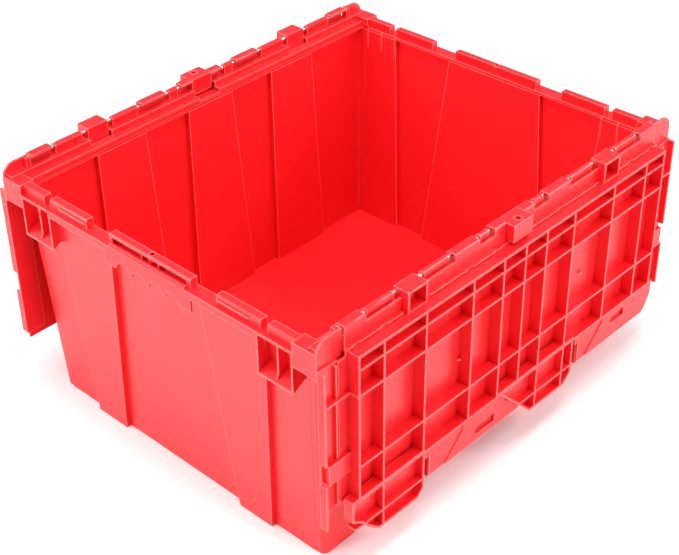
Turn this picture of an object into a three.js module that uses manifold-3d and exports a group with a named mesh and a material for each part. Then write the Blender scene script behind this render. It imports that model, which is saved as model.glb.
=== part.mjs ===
// Attached lid tote: a moulded tub with two lid leaves hinged on steel rods along its long sides.
// Millimetres. X runs along the hinges, Y across the tote, Z up, origin at the middle of the base.
// The lids are modelled hanging open outside the tote, which is joint angle 0; closed is 270 degrees.
import * as THREE from "three";
import { mergeVertices } from "three/addons/utils/BufferGeometryUtils.js";
import Module from "manifold-3d";

const wasm = await Module();
wasm.setup();

// ---- driving dimensions ----
const LENGTH = 607; // over the end flanges, X
const WIDTH = 498; // over the hinge flanges, Y
const HEIGHT = 320; // to the top of the hinge knuckles, Z
const HALF_X = LENGTH / 2;
const HALF_Y = WIDTH / 2;

const WALL = 2.7;
const FLOOR_TOP = 4.2;
const BASE = { x: 273.6, y: 217.3, radius: 8 }; // outer half sizes at the base
const TOP = { x: 288.3, y: 229, z: 292.5 }; // outer half sizes where the drafted walls end

const AXIS_Y = HALF_Y - 4.5; // hinge axis
const AXIS_Z = HEIGHT - 4;
const ROD_RADIUS = 2;
const BORE_RADIUS = 2.35;
const KNUCKLE_RADIUS = 4;
const ROD_HALF_LENGTH = 268.8;

const FLANGE_TOP = TOP.z; // end flange
const RIM = { inner: 288, outer: 298, top: 304.5 }; // raised rim on the end flange
const SEAL_X = 292.2; // seal hole through the middle of the rim
const HINGE_FLANGE_TOP = 307; // long flange under the knuckles
const LEDGE_TOP = 300;

// Hinge row, positions along X on one side of the middle; the other side mirrors them.
const KNUCKLES = [[191.5, 231], [105.5, 144.5], [40, 54]];
const TABS = [[236.5, 266], [60, 99]];
const SMALL_TABS = [[15, 34]];
const BOX_X = [153, 183];
const BOX_DEPTH = 16;
const BOX_DROP = 22.5;
const HASP_HALF = 16;

// Lid, in its own terms: "out" is outward from the hinge axis while it hangs, "down" is below the axis.
const BORDER = { out: 5, thick: 2.5 }; // hinge strip and raised end borders
const PLATE = { out: 7.5, thick: 2.5 };
const TOOTH_PLATE = { out: 13, thick: 2.5 }; // the thick teeth pass under the other lid's tongues
const RIB_OUT = 25.2;
const RIB_THICK = 2.4;
const STEP_DOWN = 21; // the hinge strip ends here and the plate starts
const LID_TOP_DOWN = 29.5; // the full-length part of the lid starts here
const RIB_DOWN = { a: 24.5, b: 41, c: 73, d: 166, e: 212, f: 249 };
const RIB_X = [0, 37.5, 88.5, 164, 228, 264.8];
const PLATE_END = 213.2; // where the other lid's tongues need room
const TIP_DOWN = 274;
const TOOTH_TIP_DOWN = 272;
const BORDER_X = 277;
const SKIRT_OUT = 14.5;
const HOOK_IN = 4; // boxes and hasp reach this far over the rod

// ---- building blocks ----
function solid(geometry) {
  const bare = geometry.index ? geometry.toNonIndexed() : geometry.clone();
  bare.deleteAttribute("normal");
  bare.deleteAttribute("uv");
  const place = bare.attributes.position.array;
  for (let i = 0; i < place.length; i++) {
    place[i] = Math.round(place[i] * 1000) / 1000; // faces meant to be flush are exactly flush
  }
  const merged = mergeVertices(bare, 1e-4);
  return new wasm.Manifold(
    new wasm.Mesh({
      numProp: 3,
      vertProperties: new Float32Array(merged.attributes.position.array),
      triVerts: new Uint32Array(merged.index.array),
    }),
  );
}

function union(parts) {
  return parts.reduce((whole, part) => whole.add(part));
}

function cut(whole, parts) {
  return parts.length ? whole.subtract(union(parts)) : whole;
}

function box(xa, xb, ya, yb, za, zb) {
  const geometry = new THREE.BoxGeometry(Math.abs(xb - xa), Math.abs(yb - ya), Math.abs(zb - za));
  geometry.translate((xa + xb) / 2, (ya + yb) / 2, (za + zb) / 2);
  return solid(geometry);
}

function shapeOf(points) {
  return new THREE.Shape(points.map(([u, v]) => new THREE.Vector2(u, v)));
}

function extrude(shape, depth) {
  return new THREE.ExtrudeGeometry(shape, { depth, bevelEnabled: false, curveSegments: 6 });
}

const AXES = {
  x: [new THREE.Vector3(0, 1, 0), new THREE.Vector3(0, 0, 1), new THREE.Vector3(1, 0, 0)],
  y: [new THREE.Vector3(1, 0, 0), new THREE.Vector3(0, 0, 1), new THREE.Vector3(0, -1, 0)],
};

// A flat outline in (y, z), run along X from xa to xb.
function prismX(points, xa, xb) {
  const geometry = extrude(shapeOf(points), Math.abs(xb - xa));
  geometry.applyMatrix4(new THREE.Matrix4().makeBasis(...AXES.x));
  geometry.translate(Math.min(xa, xb), 0, 0);
  return solid(geometry);
}

// A flat outline in (x, z), run along Y from ya to yb.
function prismY(points, ya, yb) {
  const geometry = extrude(shapeOf(points), Math.abs(yb - ya));
  geometry.applyMatrix4(new THREE.Matrix4().makeBasis(...AXES.y));
  geometry.translate(0, Math.max(ya, yb), 0);
  return solid(geometry);
}

function rodX(radius, xa, xb, y, z, sides = 16) {
  const geometry = new THREE.CylinderGeometry(radius, radius, Math.abs(xb - xa), sides);
  geometry.rotateZ(Math.PI / 2);
  geometry.translate((xa + xb) / 2, y, z);
  return solid(geometry);
}

function rodZ(radius, x, y, za, zb, sides = 16) {
  const geometry = new THREE.CylinderGeometry(radius, radius, zb - za, sides);
  geometry.rotateX(Math.PI / 2);
  geometry.translate(x, y, (za + zb) / 2);
  return solid(geometry);
}

function roundedRect(hx, hy, radius) {
  const shape = new THREE.Shape();
  shape.moveTo(hx - radius, -hy);
  shape.absarc(hx - radius, -hy + radius, radius, -Math.PI / 2, 0);
  shape.absarc(hx - radius, hy - radius, radius, 0, Math.PI / 2);
  shape.absarc(-hx + radius, hy - radius, radius, Math.PI / 2, Math.PI);
  shape.absarc(-hx + radius, -hy + radius, radius, Math.PI, 1.5 * Math.PI);
  return shape;
}

// A rounded block whose sides lean outwards to follow the mould's draft. "offset" moves all four sides.
function drafted(offset, za, zb, extra = { x: 0, y: 0 }) {
  const hx = BASE.x + offset + extra.x;
  const hy = BASE.y + offset + extra.y;
  const radius = Math.max(BASE.radius + offset, 2);
  const geometry = extrude(roundedRect(hx, hy, radius), zb - za);
  const place = geometry.attributes.position;
  for (let i = 0; i < place.count; i++) {
    const z = place.getZ(i) + za;
    place.setXYZ(
      i,
      place.getX(i) * (1 + ((TOP.x - BASE.x) / hx) * (z / TOP.z)),
      place.getY(i) * (1 + ((TOP.y - BASE.y) / hy) * (z / TOP.z)),
      z,
    );
  }
  return solid(geometry);
}

const SIDES = [-1, 1];

function bothSides(make) {
  return SIDES.map(make);
}

function fourCorners(make) {
  return SIDES.flatMap((sx) => SIDES.map((sy) => make(sx, sy)));
}

// ---- tote body ----
// Wall panels that stand proud, by their edges at the rim and at the base on one side of the middle.
const END_PANEL = { top: [69, 170], base: [100, 150], out: 6.5 };
const LONG_PANEL = { top: [34, 111], base: [48, 100], out: 7 };
const CORNER_PANEL = { top: [180, 400], base: [186, 400], out: 7 };
const PANEL_Z = [-5, 300];

// Outline of a proud panel, to keep from a larger drafted block.
function panelOutline({ top, base }, side, inset) {
  return [
    [side * (base[0] + inset), PANEL_Z[0]],
    [side * (base[1] - inset), PANEL_Z[0]],
    [side * (top[1] - inset), PANEL_Z[1]],
    [side * (top[0] + inset), PANEL_Z[1]],
  ];
}

function shellBlock(offset, za, zb, inset) {
  const endWindows = bothSides((side) => prismX(panelOutline(END_PANEL, side, inset), -400, 400));
  const longWindows = [LONG_PANEL, CORNER_PANEL].flatMap((panel) =>
    bothSides((side) => prismY(panelOutline(panel, side, inset), -400, 400)),
  );
  const long = drafted(offset, za, zb, { x: -0.6, y: LONG_PANEL.out }).intersect(union(longWindows));
  const ends = drafted(offset, za, zb, { x: END_PANEL.out, y: -0.6 }).intersect(union(endWindows));
  return union([drafted(offset, za, zb), long, ends]);
}

// What the tub holds: everything inside its walls, a little wider above the drafted walls.
function tubCavity() {
  const below = shellBlock(-WALL, FLOOR_TOP, TOP.z - 3.2, WALL);
  const above = drafted(-WALL + 0.5, TOP.z - 3.6, TOP.z + 4);
  const foot = drafted(-14, -1, 1.5);
  return [below, above, foot];
}

// Raised rim on each end flange, in sections with gaps for the ribs of the closed lids.
const RIM_SECTIONS = [[-65, 65], [104, 168], [178.5, 217], [-168, -104], [-217, -178.5]];
const POCKET_SECTIONS = [[178.5, 217], [-217, -178.5]];

function endRim(sx) {
  const solids = RIM_SECTIONS.map(([ya, yb]) => {
    const chamfer = 1.5;
    const outline = [
      [sx * RIM.inner, FLANGE_TOP - 3],
      [sx * RIM.outer, FLANGE_TOP - 3],
      [sx * RIM.outer, RIM.top - chamfer],
      [sx * (RIM.outer - chamfer), RIM.top],
      [sx * RIM.inner, RIM.top],
    ];
    return prismY(outline, ya, yb);
  });
  const lips = bothSides((sy) => box(sx * 297, sx * 299.5, sy * 106, sy * 152, 298.3, 300));
  return union([...solids, ...lips]);
}

// The hollows under the rim, open from below into the corner pockets.
function rimHollows(sx) {
  return POCKET_SECTIONS.map(([ya, yb]) =>
    box(sx * (RIM.inner + 2.5), sx * (RIM.outer - 2.5), ya + 2.5, yb - 2.5, 280, RIM.top - 2.5),
  );
}

function endFlange(sx) {
  const plate = box(sx * 284, sx * HALF_X, -HALF_Y + 1, HALF_Y - 1, FLANGE_TOP - 3, FLANGE_TOP);
  const skirt = box(sx * (HALF_X - 3), sx * HALF_X, -218, 218, 284, FLANGE_TOP);
  const gripPanel = box(sx * (HALF_X - 3), sx * HALF_X, -69, 69, 268, FLANGE_TOP - 1);
  return union([plate, skirt, gripPanel]);
}

const SCALLOP_PITCH = 26.5;

// Four finger hollows along the lower edge of the grip panel.
function fingerScallops(sx) {
  return [-1.5, -0.5, 0.5, 1.5].map((n) => {
    const middle = n * SCALLOP_PITCH;
    const arch = [
      [middle - 12.5, 266],
      [middle - 10, 273],
      [middle - 5, 277.5],
      [middle, 279],
      [middle + 5, 277.5],
      [middle + 10, 273],
      [middle + 12.5, 266],
    ];
    return prismX(arch, sx * (HALF_X - 5), sx * (HALF_X + 5));
  });
}

const GRIP_HALF = 60;
const GRIP_RADIUS = 3.2;

// Rounded grip along the edge of the flange, standing a little above it.
function gripBar(sx) {
  const outline = Array.from({ length: 16 }, (_, i) => {
    const angle = (i / 16) * 2 * Math.PI;
    return [
      sx * (HALF_X - GRIP_RADIUS) + GRIP_RADIUS * Math.cos(angle),
      FLANGE_TOP + 0.6 + GRIP_RADIUS * Math.sin(angle),
    ];
  });
  return prismY(outline, -GRIP_HALF, GRIP_HALF);
}

// Recess in the front of the rim behind the grip bar, above the flange.
function gripRecess(sx) {
  return box(sx * 291, sx * (RIM.outer + 1), -GRIP_HALF, GRIP_HALF, FLANGE_TOP, RIM.top - 3);
}

// Two ribs in the recess and the tube round the seal hole.
function gripRibs(sx) {
  const ribs = bothSides((sy) =>
    box(sx * 289, sx * 296.5, sy * 12.4, sy * 14.6, FLANGE_TOP - 1, RIM.top - 2),
  );
  const tube = rodZ(5, sx * SEAL_X, 0, FLANGE_TOP - 1, RIM.top - 1);
  return union([...ribs, tube]);
}

const POCKET = { y: [168, 214.5], z: [240, 290] };

// Open-fronted corner pocket below the end flange: two side plates, a sloping floor and a middle rib.
function cornerPocket(sx, sy) {
  const [ya, yb] = POCKET.y;
  const front = sx * HALF_X;
  const back = sx * 284;
  const side = [[back, 251], [front, 240], [front, FLANGE_TOP - 1], [back, FLANGE_TOP - 1]];
  const middle = [
    [back, 251], [sx * 303, 241], [sx * 298.5, 250], [sx * 298.5, FLANGE_TOP - 1], [back, FLANGE_TOP - 1],
  ];
  const floor = [[back, 251], [front, 240], [front, 242.4], [back, 253.4]];
  return union([
    prismY(side, sy * (ya - 2), sy * ya),
    prismY(side, sy * yb, sy * (yb + 2)),
    prismY(middle, sy * 190, sy * 192),
    prismY(floor, sy * (ya - 1), sy * (yb + 1)),
  ]);
}

// The skirt is open in front of each pocket.
function pocketMouth(sx, sy) {
  const [ya, yb] = POCKET.y;
  return box(sx * 299, sx * (HALF_X + 1), sy * ya, sy * yb, 260, FLANGE_TOP - 3);
}

function cornerBlock(sx, sy) {
  return box(sx * 284, sx * HALF_X, sy * 216.3, sy * (HALF_Y - 1), 275, 305);
}

// The corner block is hollow from below.
function cornerHollow(sx, sy) {
  return box(sx * 290, sx * (HALF_X - 3), sy * 219.3, sy * (HALF_Y - 3), 270, 302);
}

// Upstanding rounded end of the hinge flange, which carries the end of the rod.
function hingeFlangeEnd(sx, sy) {
  const start = sx * 268;
  const end = sx * HALF_X;
  const radius = 17;
  const outline = [[start, 273], [end, 273]];
  for (let i = 0; i <= 6; i++) {
    const angle = (i / 6) * (Math.PI / 2);
    outline.push([end - sx * radius * (1 - Math.cos(angle)), 319 - radius * (1 - Math.sin(angle))]);
  }
  outline.push([start, 319]);
  const plate = prismY(outline, sy * (HALF_Y - 2.5), sy * HALF_Y);
  const bearing = box(start, sx * 274, sy * (AXIS_Y - 4), sy * HALF_Y, HINGE_FLANGE_TOP - 2.5, HEIGHT - 1);
  const shelfEnd = sx * (HALF_X - 4);
  const shelf = box(start, shelfEnd, sy * 235.5, sy * HALF_Y, HINGE_FLANGE_TOP - 2.5, HINGE_FLANGE_TOP);
  return union([plate, bearing, shelf]);
}

function longFlange(sy) {
  const end = HALF_X - 4;
  const wallTop = box(-286, 286, sy * 227, sy * 229.6, 289, LEDGE_TOP);
  const ledge = box(-287, 287, sy * 226.4, sy * 238, LEDGE_TOP - 2.8, LEDGE_TOP);
  const riser = box(-287, 287, sy * 235.5, sy * 238, LEDGE_TOP - 2.8, HINGE_FLANGE_TOP);
  const topPlate = box(-270, 270, sy * 235.5, sy * HALF_Y, HINGE_FLANGE_TOP - 2.5, HINGE_FLANGE_TOP);
  const skirt = box(-end, end, sy * (HALF_Y - 2.5), sy * HALF_Y, 273, HINGE_FLANGE_TOP);
  return union([wallTop, ledge, riser, topPlate, skirt]);
}

// Gussets under the long flange, between the wall and the skirt.
const GUSSET_X = [-255, -188, -148, -82, -30, 30, 82, 148, 188, 255];

function gussets(sy) {
  return GUSSET_X.map((x) => box(x - 1, x + 1, sy * 228, sy * (HALF_Y - 1), 276, LEDGE_TOP - 1.5));
}

function knuckle(xa, xb, sy) {
  const outline = [[sy * (AXIS_Y - 2.8), HINGE_FLANGE_TOP - 1]];
  for (let i = 0; i <= 10; i++) {
    const angle = (225 - 27 * i) * (Math.PI / 180);
    outline.push([
      sy * (AXIS_Y + KNUCKLE_RADIUS * Math.cos(angle)),
      AXIS_Z + KNUCKLE_RADIUS * Math.sin(angle),
    ]);
  }
  outline.push([sy * (AXIS_Y + 2.8), HINGE_FLANGE_TOP - 1]);
  return prismX(outline, xa, xb);
}

function knuckles(sy) {
  return SIDES.flatMap((sx) => KNUCKLES.map(([xa, xb]) => knuckle(sx * xa, sx * xb, sy)));
}

// Floors of the recesses below.
function recessFloors(sy) {
  const boxes = SIDES.map((sx) =>
    box(sx * (BOX_X[0] - 3), sx * (BOX_X[1] + 3), sy * 237, sy * (HALF_Y - 1), 289.5, 292),
  );
  const hasp = box(-HASP_HALF - 3, HASP_HALF + 3, sy * 227.4, sy * (HALF_Y - 1), 292, 294.5);
  return [...boxes, hasp];
}

// Room in the long flange for the lid's boxes and hasp block as they swing over into the closed lid.
function hingeRecesses(sy) {
  const boxes = SIDES.flatMap((sx) => {
    const xa = sx * (BOX_X[0] - 1.5);
    const xb = sx * (BOX_X[1] + 1.5);
    return [
      box(xa, xb, sy * 238.5, sy * (HALF_Y + 1), 292.5, HEIGHT + 1),
      box(xa, xb, sy * 232, sy * 240, LEDGE_TOP - 0.5, HEIGHT + 1),
    ];
  });
  const hasp = [
    box(-HASP_HALF - 1.5, HASP_HALF + 1.5, sy * 238.5, sy * (HALF_Y + 1), 295, HEIGHT + 1),
    box(-HASP_HALF - 1.5, HASP_HALF + 1.5, sy * 225, sy * 240, 295, HEIGHT + 1),
  ];
  return [...boxes, ...hasp];
}

function toteBody() {
  const added = [shellBlock(0, 0, TOP.z, 0)];
  for (const sx of SIDES) {
    added.push(endFlange(sx));
  }
  for (const sy of SIDES) {
    added.push(longFlange(sy), ...recessFloors(sy), ...gussets(sy), ...knuckles(sy));
  }
  added.push(...fourCorners(cornerBlock), ...fourCorners(hingeFlangeEnd));
  added.push(...bothSides(endRim));
  let body = union(added);
  const removed = [
    ...tubCavity(),
    ...SIDES.flatMap(rimHollows),
    ...SIDES.map(gripRecess),
    ...SIDES.flatMap(fingerScallops),
    ...fourCorners(pocketMouth),
    ...fourCorners(cornerHollow),
    ...SIDES.flatMap(hingeRecesses),
  ];
  body = cut(body, removed);
  body = union([body, ...fourCorners(cornerPocket), ...bothSides(gripRibs), ...bothSides(gripBar)]);
  const sealHoles = bothSides((sx) => rodZ(3.4, sx * SEAL_X, 0, 270, HEIGHT));
  const bores = bothSides((sy) => rodX(BORE_RADIUS, -269.4, 269.4, sy * AXIS_Y, AXIS_Z));
  return cut(body, [...sealHoles, ...bores]);
}

// ---- lid ----
// Everything here is placed by (x, out, down) from the hinge axis of the front lid.
function lidBox(xa, xb, outA, outB, downA, downB) {
  return box(xa, xb, -AXIS_Y - outA, -AXIS_Y - outB, AXIS_Z - downA, AXIS_Z - downB);
}

function lidSlab(points, level) {
  const outline = points.map(([x, down]) => [x, AXIS_Z - down]);
  return prismY(outline, -AXIS_Y - level.out, -AXIS_Y - level.out - level.thick);
}

// Seen along the hinge axis, the two closed lids meet on the middle line of the tote. The tongues reach
// past it over the other lid's thick teeth, and one side of the first tongue crosses it at 45 degrees.
const MEET = 2 * AXIS_Y;
const SEAM = 1.5;
const FIRST_TONGUE = [
  [-135, 230],
  [-135, TIP_DOWN],
  [TIP_DOWN - AXIS_Y - SEAM, TIP_DOWN],
  [230 - AXIS_Y - SEAM, 230],
];
const SECOND_TONGUE = [[143, 230], [143, TIP_DOWN], [284, TIP_DOWN], [290, 268], [299, 252], [299, 230]];
const TONGUES = [FIRST_TONGUE, SECOND_TONGUE];

// The room that the closed opposite lid's tongue takes, seen in this lid's own terms.
function opposite(points, room) {
  return inset(points.map(([x, down]) => [-x, MEET - down]), -room);
}

const FIRST_TOOTH = [
  [-276, 208], [-276, 236], [-262, 245], [-252, 257], [-240, 268], [-234, TOOTH_TIP_DOWN],
  [-172, TOOTH_TIP_DOWN], [-162, 262], [-162, 208],
];
const SECOND_TOOTH = [
  [208 - AXIS_Y + 1, 208], [TOOTH_TIP_DOWN - AXIS_Y + 1, TOOTH_TIP_DOWN],
  [95, TOOTH_TIP_DOWN], [108, 260], [108, 208],
];
const TEETH = [FIRST_TOOTH, SECOND_TOOTH];

function endBorder(sx) {
  const [inner, outer] = [sx * BORDER_X, sx * HALF_X];
  return lidSlab([[inner, LID_TOP_DOWN], [outer, LID_TOP_DOWN], [outer, 236], [inner, 236]], BORDER);
}

function lidPlate() {
  const main = lidSlab([[-279, STEP_DOWN], [279, STEP_DOWN], [279, 243.5], [-279, 243.5]], PLATE);
  const strip = lidBox(-267, 267, BORDER.out, PLATE.out, 5, STEP_DOWN + 3);
  const tongues = TONGUES.map((points) => lidSlab(points, PLATE));
  const ends = [...bothSides(endBorder), ...bothSides(lidEnd)];
  const whole = union([cut(main, lidCorners()), strip, ...ends, ...tongues]);
  const away = TONGUES.map((points) => lidSlab(opposite(points, 1), { out: 0, thick: 12 }));
  return cut(whole, away);
}

// The lid is cut back beside the hinge row so that it clears the upstanding ends of the hinge flange.
function lidCorners() {
  return bothSides((sx) => lidBox(sx * 268, sx * 300, 0, 12, STEP_DOWN - 5, LID_TOP_DOWN));
}

function toothSolids() {
  const slabs = TEETH.map((points) => lidSlab(points, TOOTH_PLATE));
  const edges = TEETH.map((points) => {
    const block = lidSlab(points, { out: TOOTH_PLATE.out, thick: RIB_OUT - TOOTH_PLATE.out });
    return cut(block, [lidSlab(inset(points, RIB_THICK), { out: 0, thick: 40 })]);
  });
  return [...slabs, ...edges];
}

// Moves every side of a convex outline inwards by the same distance.
function inset(points, distance) {
  const area = points.reduce((sum, [x, y], i) => {
    const [nx, ny] = points[(i + 1) % points.length];
    return sum + x * ny - nx * y;
  }, 0);
  const turn = Math.sign(area);
  const sides = points.map(([x, y], i) => {
    const [nx, ny] = points[(i + 1) % points.length];
    const length = Math.hypot(nx - x, ny - y);
    const normal = [(-turn * (ny - y)) / length, (turn * (nx - x)) / length];
    return { x: x + normal[0] * distance, y: y + normal[1] * distance, dx: nx - x, dy: ny - y };
  });
  return sides.map((b, i) => {
    const a = sides[(i + sides.length - 1) % sides.length];
    const cross = a.dx * b.dy - a.dy * b.dx;
    const t = ((b.x - a.x) * b.dy - (b.y - a.y) * b.dx) / cross;
    return [a.x + a.dx * t, a.y + a.dy * t];
  });
}

function rib(xa, xb, down, thick = RIB_THICK, outFrom = PLATE.out) {
  return lidBox(xa, xb, outFrom, RIB_OUT, down - thick / 2, down + thick / 2);
}

function lidRibs() {
  const edge = RIB_X[RIB_X.length - 1] + RIB_THICK / 2;
  const across = [
    rib(-edge, edge, RIB_DOWN.a, 3),
    rib(-edge, edge, RIB_DOWN.b),
    rib(-edge, edge, RIB_DOWN.c),
    rib(-edge, edge, RIB_DOWN.d),
    rib(-edge, edge, RIB_DOWN.e),
    rib(-272, -163, RIB_DOWN.f, RIB_THICK, TOOTH_PLATE.out),
    rib(RIB_DOWN.f - AXIS_Y + 3, 107, RIB_DOWN.f, RIB_THICK, TOOTH_PLATE.out),
  ];
  const down = RIB_X.flatMap((x) =>
    (x ? SIDES : [1]).map((side) =>
      lidBox(side * x - RIB_THICK / 2, side * x + RIB_THICK / 2, PLATE.out, RIB_OUT, RIB_DOWN.a, RIB_DOWN.e),
    ),
  );
  const toothRibs = [-228, 37.5, 88.5].map((x) =>
    lidBox(x - RIB_THICK / 2, x + RIB_THICK / 2, TOOTH_PLATE.out, RIB_OUT, RIB_DOWN.e, TOOTH_TIP_DOWN - 1),
  );
  return [...across, ...down, ...toothRibs];
}

// Outer end of the lid: a turned-down skirt, a flat band where the rim is low, and a low rib.
function lidEnd(sx) {
  const tip = sx * HALF_X;
  const skirt = lidBox(tip, sx * (HALF_X - 2.5), BORDER.out + 1.2, SKIRT_OUT, LID_TOP_DOWN + 1, 235);
  const gap = lidBox(sx * (HALF_X + 1), sx * (HALF_X - 4), BORDER.out + 2.5, SKIRT_OUT + 1, 147, 175);
  const band = lidBox(sx * 266, sx * (HALF_X - 5), PLATE.out, SKIRT_OUT, 150, 174.5);
  const crossRib = rib(sx * 266, sx * (HALF_X - 1), RIB_DOWN.c);
  const lowCross = cut(crossRib, [lidBox(sx * 267, sx * (HALF_X + 1), SKIRT_OUT, RIB_OUT + 1, 60, 90)]);
  const lowRib = lidBox(sx * 282, sx * 284, BORDER.out + 0.6, PLATE.out + 4, LID_TOP_DOWN + 2, 233);
  const [joinA, joinB] = [sx * (BORDER_X + 2), sx * (BORDER_X - 0.5)];
  const join = lidBox(joinA, joinB, BORDER.out + 0.4, PLATE.out + 2, LID_TOP_DOWN + 3, 234);
  return union([cut(skirt, [gap]), band, lowCross, lowRib, join]);
}

// Hooks of the lid over the rod.
function hingeTab(xa, xb) {
  const outline = [
    [5, 24], [5, -0.5], [3.6, -2.5], [-3, -2.5], [-4.2, -1], [-5.2, -1], [-5.2, -2.6], [-4, -4],
    [6, -4], [7.5, -2.5], [7.5, 24],
  ].map(([out, down]) => [-AXIS_Y - out, AXIS_Z - down]);
  return prismX(outline, xa, xb);
}

function hingeTabs() {
  return SIDES.flatMap((sx) => [...TABS, ...SMALL_TABS].map(([xa, xb]) => hingeTab(sx * xa, sx * xb)));
}

// Hollow box at the hinge line, open outwards, that drops into a recess of the tote when closed.
function latchBox(sx) {
  const [xa, xb] = BOX_X.map((x) => sx * x);
  const block = lidBox(xa, xb, -HOOK_IN, BOX_DEPTH, -4, BOX_DROP);
  const hollow = lidBox(xa + sx * 2.5, xb - sx * 2.5, 2.6, BOX_DEPTH + 1, -1.5, BOX_DROP - 2.5);
  const mark = lidBox(xa + sx * 8, xb - sx * 8, 2, 3.4, 8, 12);
  return union([cut(block, [hollow]), mark]);
}

function haspBlock() {
  const block = lidBox(-HASP_HALF, HASP_HALF, -HOOK_IN, 19, -3.5, 17.5);
  const hollow = lidBox(-HASP_HALF + 2.5, HASP_HALF - 2.5, 5.5, 16.5, 1, 20);
  const ring = rodZ(6, 0, -AXIS_Y - 11, AXIS_Z + 3, HEIGHT, 20);
  const hole = rodZ(3.4, 0, -AXIS_Y - 11, AXIS_Z - 2, HEIGHT + 1, 20);
  return cut(union([cut(block, [hollow]), ring]), [hole]);
}

// Short lips along the step between hinge strip and plate.
const LIP_X = [[258, 266], [217, 250], [186, 209], [122, 143], [84, 120], [37, 75], [25, 34]];

function stepLips() {
  return SIDES.flatMap((sx) =>
    LIP_X.map(([xa, xb]) =>
      lidBox(sx * xa, sx * xb, PLATE.out - 0.5, PLATE.out + 4.5, STEP_DOWN - 1, STEP_DOWN + 0.5),
    ),
  );
}

// Blind slots in the tongues, each with a raised back on the lid's upper face.
const TONGUE_SLOTS = [[-55, -19, 259], [211, 240, 247]];
const SLOT_BACK = 5;

function slotBacks() {
  return TONGUE_SLOTS.map(([xa, xb, down]) =>
    lidBox(xa - 1.8, xb + 1.8, SLOT_BACK, PLATE.out + 0.8, down - 7.8, down + 7.8),
  );
}

function tongueSlots() {
  return TONGUE_SLOTS.map(([xa, xb, down]) => lidBox(xa, xb, SLOT_BACK + 1.5, 12, down - 6, down + 6));
}

function gateMarks() {
  return [-92, 130].map((x) => {
    const geometry = new THREE.CylinderGeometry(2.2, 3.2, 2, 12);
    geometry.rotateX(Math.PI / 2);
    geometry.translate(x, -AXIS_Y - PLATE.out - 3.4, 184);
    return solid(geometry);
  });
}

// Thinned corners of the tongues, beside their sloping ribs.
function tongueRelief() {
  const outlines = [
    [[-134, PLATE_END + 2], [-76, PLATE_END + 2], [-76, 243], [-108, TIP_DOWN + 1], [-134, TIP_DOWN + 1]],
    [[144, PLATE_END + 2], [194, PLATE_END + 2], [194, 240], [160, TIP_DOWN + 1], [144, TIP_DOWN + 1]],
  ];
  return outlines.map((points) => lidSlab(points, { out: PLATE.out + 1.3, thick: 3 }));
}

function lid() {
  const added = [lidPlate(), ...slotBacks(), ...toothSolids(), ...lidRibs(), ...stepLips(), ...gateMarks()];
  let whole = union(added);
  whole = cut(whole, [...tongueSlots(), ...tongueRelief()]);
  const boxRoom = SIDES.map((sx) =>
    lidBox(sx * (BOX_X[0] + 2), sx * (BOX_X[1] - 2), 2.6, 17, 0, BOX_DROP - 2.5),
  );
  whole = union([cut(whole, boxRoom), ...hingeTabs(), ...bothSides(latchBox), haspBlock()]);
  const bore = rodX(BORE_RADIUS, -300, 300, -AXIS_Y, AXIS_Z);
  return cut(whole, [bore]);
}

// The rear lid is the front lid turned round, with the outer part of its second tongue left off.
function rearLidShape(whole) {
  return cut(whole, [lidBox(255, HALF_X + 1, 0, 12, 246, TIP_DOWN + 1)]);
}

// ---- meshes ----
function meshOf(name, manifold, material) {
  const data = manifold.getMesh();
  const geometry = new THREE.BufferGeometry();
  geometry.setAttribute("position", new THREE.BufferAttribute(new Float32Array(data.vertProperties), 3));
  geometry.setIndex(new THREE.BufferAttribute(new Uint32Array(data.triVerts), 1));
  geometry.computeVertexNormals();
  const mesh = new THREE.Mesh(geometry, material);
  mesh.name = name;
  return mesh;
}

const plastic = new THREE.MeshStandardMaterial({ color: 0xe8141c, roughness: 0.42, metalness: 0 });
const lidPlastic = new THREE.MeshStandardMaterial({ color: 0xe8141c, roughness: 0.42, metalness: 0 });
const steel = new THREE.MeshStandardMaterial({ color: 0xc8ccd0, roughness: 0.3, metalness: 1 });

function hingeRod(name, sy) {
  const rod = rodX(ROD_RADIUS, -ROD_HALF_LENGTH, ROD_HALF_LENGTH, sy * AXIS_Y, AXIS_Z);
  return meshOf(name, rod, steel);
}

const lidShape = lid();
const frontLid = meshOf("front_lid", lidShape, lidPlastic);
const rearLid = meshOf("rear_lid", rearLidShape(lidShape), lidPlastic);
rearLid.rotation.z = Math.PI;

const group = new THREE.Group();
group.add(meshOf("tote_body", toteBody(), plastic));
group.add(frontLid, rearLid);
group.add(hingeRod("front_hinge_rod", -1), hingeRod("rear_hinge_rod", 1));

export default group;
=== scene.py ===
"""Looks for the attached lid tote: red moulded plastic, drawn steel rods, studio floor, light and camera."""

import math

import bpy
from mathutils import Matrix, Vector


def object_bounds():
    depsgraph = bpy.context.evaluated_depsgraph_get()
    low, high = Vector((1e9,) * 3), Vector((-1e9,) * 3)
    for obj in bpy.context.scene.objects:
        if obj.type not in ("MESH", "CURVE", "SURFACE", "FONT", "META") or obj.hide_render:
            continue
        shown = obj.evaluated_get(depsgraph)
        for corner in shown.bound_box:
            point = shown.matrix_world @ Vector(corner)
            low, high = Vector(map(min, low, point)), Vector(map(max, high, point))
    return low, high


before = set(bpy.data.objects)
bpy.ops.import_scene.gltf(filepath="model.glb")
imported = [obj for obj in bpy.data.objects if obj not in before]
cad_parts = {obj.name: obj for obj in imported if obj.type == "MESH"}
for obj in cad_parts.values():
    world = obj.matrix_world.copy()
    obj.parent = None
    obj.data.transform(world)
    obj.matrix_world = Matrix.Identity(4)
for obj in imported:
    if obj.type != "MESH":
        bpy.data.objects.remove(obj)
cad_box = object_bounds()

# ---- driving values: metres, degrees, watts and linear colours ----
PLASTIC_NODES = ("tote_body", "front_lid", "rear_lid")
ROD_NODES = ("front_hinge_rod", "rear_hinge_rod")

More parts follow.
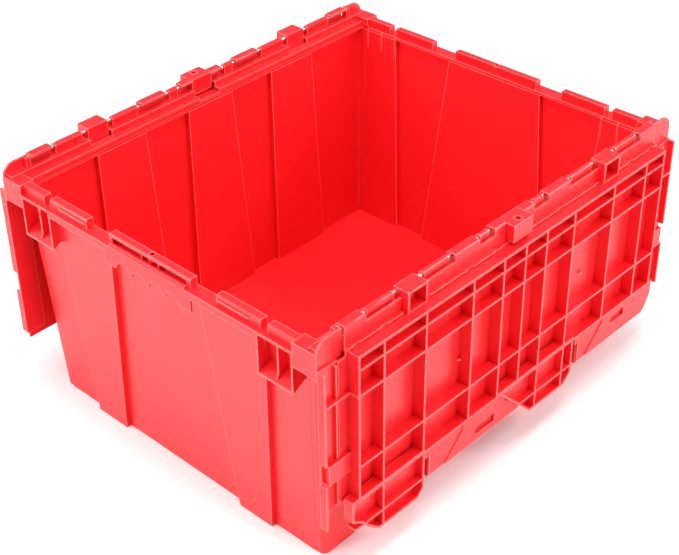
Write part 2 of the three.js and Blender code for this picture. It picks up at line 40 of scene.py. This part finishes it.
RED = (0.80, 0.012, 0.017, 1.0)
PLASTIC_IOR = 1.5
PLASTIC_SPECULAR = 0.5
PLASTIC_ROUGHNESS = (0.30, 0.38)
UNEVEN_GLOSS_SCALE = 9.0
GRAIN_SCALE = 900.0
GRAIN_HEIGHT = 0.0001
GRAIN_STRENGTH = 0.12
NOISE_DETAIL = 2.0
NOISE_RANGE = (0.3, 0.7)

# Painted edge highlight: this paler red is mixed in along convex edges to stand in for light caught on the
# rounded edges.
EDGE_HIGHLIGHT_RED = (1.0, 0.32, 0.31, 1.0)
EDGE_HIGHLIGHT_REACH = 0.0011
EDGE_HIGHLIGHT_RANGE = (0.35, 0.9)
EDGE_HIGHLIGHT_SAMPLES = 6
EDGE_RADIUS = 0.0006
EDGE_SEGMENTS = 2
EDGE_ANGLE = 35
FLAT_ANGLE = 1
WELD_DISTANCE = 0.00001

STEEL = (0.72, 0.73, 0.75, 1.0)
STEEL_ROUGHNESS = 0.25

FLOOR_GREY = (0.93, 0.93, 0.93, 1.0)
FLOOR_ROUGHNESS = 0.9
FLOOR_SPECULAR = 0.1
FLOOR_WIDTH = 60
FLOOR_GAP = 0.0005

WORLD_STRENGTH = 0.4
TOTE_MIDDLE = (0, 0, 0.15)
TOTE_RIM = (0, 0, 0.3)
# name, place, aim, diameter, power
LIGHTS = (
    ("front", (0.5, -3.0, 1.25), TOTE_MIDDLE, 1.6, 52),
    ("left", (-3.0, 0.5, 1.25), TOTE_MIDDLE, 1.6, 52),
    ("top", (-0.2, -0.2, 3.0), TOTE_MIDDLE, 1.8, 85),
    ("front glint", (1.8, -1.45, 1.8), TOTE_RIM, 0.6, 22),
    ("left glint", (-1.45, 1.8, 1.8), TOTE_RIM, 0.6, 22),
)

CAMERA_PLACE = (-1.0816, -1.0188, 1.1563)
CAMERA_BEARING = 45.344
CAMERA_TILT = 34.767
CAMERA_ROLL = 1.845
CAMERA_LENS_MM = 77.51
CAMERA_SENSOR_MM = 36
CAMERA_SHIFT = 0.058


# ---- materials ----
def new_material(name):
    material = bpy.data.materials.new(name)
    material.use_nodes = True
    return material, material.node_tree.nodes["Principled BSDF"]


def object_noise(tree, scale):
    """Noise fixed to the object, so that it moves with the piece."""
    place = tree.nodes.new("ShaderNodeTexCoord")
    noise = tree.nodes.new("ShaderNodeTexNoise")
    noise.inputs["Scale"].default_value = scale
    noise.inputs["Detail"].default_value = NOISE_DETAIL
    tree.links.new(place.outputs["Object"], noise.inputs["Vector"])
    return noise.outputs["Fac"]


def ramp(tree, source, source_range, low, high):
    """Stretches source_range to run from low to high."""
    node = tree.nodes.new("ShaderNodeMapRange")
    node.inputs["From Min"].default_value, node.inputs["From Max"].default_value = source_range
    node.inputs["To Min"].default_value = low
    node.inputs["To Max"].default_value = high
    tree.links.new(source, node.inputs["Value"])
    return node.outputs["Result"]


def add_bump(tree, shader, height):
    bump = tree.nodes.new("ShaderNodeBump")
    bump.inputs["Distance"].default_value = GRAIN_HEIGHT
    bump.inputs["Strength"].default_value = GRAIN_STRENGTH
    tree.links.new(height, bump.inputs["Height"])
    tree.links.new(bump.outputs["Normal"], shader.inputs["Normal"])


def painted_highlight_mask(tree):
    """Painted highlight mask: rises to 1 at convex outer edges, found by ambient occlusion taken inside the
    piece.
    """
    inside = tree.nodes.new("ShaderNodeAmbientOcclusion")
    inside.inside = True
    inside.only_local = True
    inside.samples = EDGE_HIGHLIGHT_SAMPLES
    inside.inputs["Distance"].default_value = EDGE_HIGHLIGHT_REACH
    return ramp(tree, inside.outputs["AO"], EDGE_HIGHLIGHT_RANGE, 1.0, 0.0)


def mix_colours(tree, factor, first, second):
    mix = tree.nodes.new("ShaderNodeMix")
    mix.data_type = "RGBA"
    mix.inputs["A"].default_value = first
    mix.inputs["B"].default_value = second
    tree.links.new(factor, mix.inputs["Factor"])
    return mix.outputs["Result"]


def moulded_red():
    """Semi-gloss polyethylene with a fine moulded grain, slightly uneven gloss and a painted highlight of
    paler red along the edges.
    """
    material, shader = new_material("moulded_red")
    tree = material.node_tree
    # Painted highlight: the base colour turns paler red along convex edges.
    tree.links.new(mix_colours(tree, painted_highlight_mask(tree), RED, EDGE_HIGHLIGHT_RED), shader.inputs["Base Color"])
    shader.inputs["IOR"].default_value = PLASTIC_IOR
    shader.inputs["Specular IOR Level"].default_value = PLASTIC_SPECULAR
    uneven = object_noise(tree, UNEVEN_GLOSS_SCALE)
    tree.links.new(ramp(tree, uneven, NOISE_RANGE, *PLASTIC_ROUGHNESS), shader.inputs["Roughness"])
    add_bump(tree, shader, object_noise(tree, GRAIN_SCALE))
    return material


def drawn_steel():
    material, shader = new_material("drawn_steel")
    shader.inputs["Base Color"].default_value = STEEL
    shader.inputs["Metallic"].default_value = 1.0
    shader.inputs["Roughness"].default_value = STEEL_ROUGHNESS
    return material


def pale_floor():
    material, shader = new_material("pale_floor")
    shader.inputs["Base Color"].default_value = FLOOR_GREY
    shader.inputs["Roughness"].default_value = FLOOR_ROUGHNESS
    shader.inputs["Specular IOR Level"].default_value = FLOOR_SPECULAR
    return material


def paint(node, material):
    """Gives one piece of the frame its material, and returns the piece."""
    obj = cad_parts[node]
    for slot in obj.material_slots:
        slot.material = material
    if not obj.material_slots:
        obj.data.materials.append(material)
    return obj


def soften_edges(obj):
    """Rounds the moulding's edges, once its flat faces are joined so that only real edges are rounded."""
    weld = obj.modifiers.new("weld", "WELD")
    weld.merge_threshold = WELD_DISTANCE
    flats = obj.modifiers.new("flats", "DECIMATE")
    flats.decimate_type = "DISSOLVE"
    flats.angle_limit = math.radians(FLAT_ANGLE)
    bevel = obj.modifiers.new("edges", "BEVEL")
    bevel.width = EDGE_RADIUS
    bevel.segments = EDGE_SEGMENTS
    bevel.limit_method = "ANGLE"
    bevel.angle_limit = math.radians(EDGE_ANGLE)
    bevel.harden_normals = False
    bevel.use_clamp_overlap = True


# ---- stage ----
def add_floor():
    bpy.ops.mesh.primitive_plane_add(size=FLOOR_WIDTH, location=(0, 0, cad_box[0].z - FLOOR_GAP))
    floor = bpy.context.object
    floor.name = "floor"
    floor.data.materials.append(pale_floor())


def add_light(name, place, target, diameter, power):
    data = bpy.data.lights.new(name, "AREA")
    data.shape = "DISK"
    data.size = diameter
    data.energy = power
    light = bpy.data.objects.new(name, data)
    bpy.context.scene.collection.objects.link(light)
    light.location = place
    direction = Vector(target) - Vector(place)
    light.rotation_euler = direction.to_track_quat("-Z", "Y").to_euler()


def add_world():
    world = bpy.data.worlds.new("studio")
    bpy.context.scene.world = world
    world.use_nodes = True
    background = world.node_tree.nodes["Background"]
    background.inputs["Color"].default_value = (1, 1, 1, 1)
    background.inputs["Strength"].default_value = WORLD_STRENGTH


def camera_turn():
    """The camera's rotation: bearing is the way it looks, from +X towards +Y, and tilt is downwards."""
    bearing, tilt, roll = (math.radians(a) for a in (CAMERA_BEARING, CAMERA_TILT, CAMERA_ROLL))
    forward = Vector(
        (
            math.cos(tilt) * math.cos(bearing),
            math.cos(tilt) * math.sin(bearing),
            -math.sin(tilt),
        )
    )
    level = Vector((math.sin(bearing), -math.cos(bearing), 0))
    down = forward.cross(level)
    right = level * math.cos(roll) + down * math.sin(roll)
    lower = down * math.cos(roll) - level * math.sin(roll)
    return Matrix((right, -lower, -forward)).transposed()


def add_camera():
    """Looks down at the near left corner from about 1.9 m, with a short telephoto lens."""
    data = bpy.data.cameras.new("camera")
    data.sensor_width = CAMERA_SENSOR_MM
    data.lens = CAMERA_LENS_MM
    data.shift_x = CAMERA_SHIFT
    camera = bpy.data.objects.new("camera", data)
    bpy.context.scene.collection.objects.link(camera)
    camera.matrix_world = Matrix.Translation(CAMERA_PLACE) @ camera_turn().to_4x4()
    bpy.context.scene.camera = camera


def set_view_transform():
    view = bpy.context.scene.view_settings
    view.view_transform = "Standard"
    view.look = "None"


# ---- build ----
red = moulded_red()
steel = drawn_steel()
for node in PLASTIC_NODES:
    soften_edges(paint(node, red))
for node in ROD_NODES:
    paint(node, steel)
add_floor()
add_world()
for light in LIGHTS:
    add_light(*light)
add_camera()
set_view_transform()
